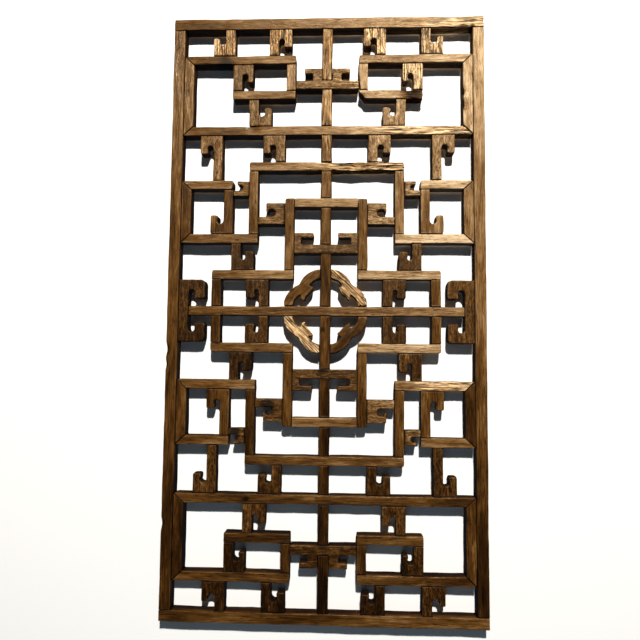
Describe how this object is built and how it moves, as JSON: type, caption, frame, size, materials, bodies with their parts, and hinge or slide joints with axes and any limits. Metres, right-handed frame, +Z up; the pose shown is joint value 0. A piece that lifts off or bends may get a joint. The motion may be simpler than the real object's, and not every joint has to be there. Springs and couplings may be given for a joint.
{
  "type": "lattice panel",
  "caption": "Upright wooden window lattice panel: squared bars and small squared scrolls in a plain frame round a carved quatrefoil ring, hung by its back.",
  "frame": {"origin": "middle of the back face of the top rail, where the panel is hung", "axes": "+Z up, -Y out of the front face, +X to the right when seen from the front"},
  "size_m": [0.5, 0.025, 0.953],
  "materials": {
    "frame_wood": "old rubbed lacquer over open grain",
    "bar_wood": "old rubbed lacquer over open grain",
    "scroll_wood": "old rubbed lacquer over open grain",
    "ring_wood": "carved, rubbed lacquer, weathered along the grain"
  },
  "bodies": {
    "root": {"bottom_rail": "frame_wood", "centre_rail": "bar_wood", "left_belt_post": "bar_wood", "left_bracket": "scroll_wood", "left_double_hook": "scroll_wood", "left_stile": "frame_wood", "lower_arch_bar": "bar_wood", "lower_cross_rail": "bar_wood", "lower_head_crossbar": "scroll_wood", "lower_inner_bar": "bar_wood", "lower_inner_crossbar": "scroll_wood", "lower_left_arch_post": "bar_wood", "lower_left_belt_bar": "scroll_wood", "lower_left_box_strip": "bar_wood", "lower_left_corner_scroll": "scroll_wood", "lower_left_corner_strip": "bar_wood", "lower_left_inner_post": "bar_wood", "lower_left_ring_quarter": "ring_wood", "lower_left_side_box": "scroll_wood", "lower_left_step_bar": "bar_wood", "lower_right_arch_post": "bar_wood", "lower_right_belt_bar": "scroll_wood", "lower_right_box_strip": "bar_wood", "lower_right_corner_scroll": "scroll_wood", "lower_right_corner_strip": "bar_wood", "lower_right_inner_post": "bar_wood", "lower_right_ring_quarter": "ring_wood", "lower_right_side_box": "scroll_wood", "lower_right_step_bar": "bar_wood", "mullion": "bar_wood", "right_belt_post": "bar_wood", "right_bracket": "scroll_wood", "right_double_hook": "scroll_wood", "right_stile": "frame_wood", "top_rail": "frame_wood", "upper_arch_bar": "bar_wood", "upper_cross_rail": "bar_wood", "upper_head_crossbar": "scroll_wood", "upper_inner_bar": "bar_wood", "upper_inner_crossbar": "scroll_wood", "upper_left_arch_post": "bar_wood", "upper_left_belt_bar": "scroll_wood", "upper_left_box_strip": "bar_wood", "upper_left_corner_scroll": "scroll_wood", "upper_left_corner_strip": "bar_wood", "upper_left_inner_post": "bar_wood", "upper_left_ring_quarter": "ring_wood", "upper_left_side_box": "scroll_wood", "upper_left_step_bar": "bar_wood", "upper_right_arch_post": "bar_wood", "upper_right_belt_bar": "scroll_wood", "upper_right_box_strip": "bar_wood", "upper_right_corner_scroll": "scroll_wood", "upper_right_corner_strip": "bar_wood", "upper_right_inner_post": "bar_wood", "upper_right_ring_quarter": "ring_wood", "upper_right_side_box": "scroll_wood", "upper_right_step_bar": "bar_wood"}
  },
  "joints": []
}
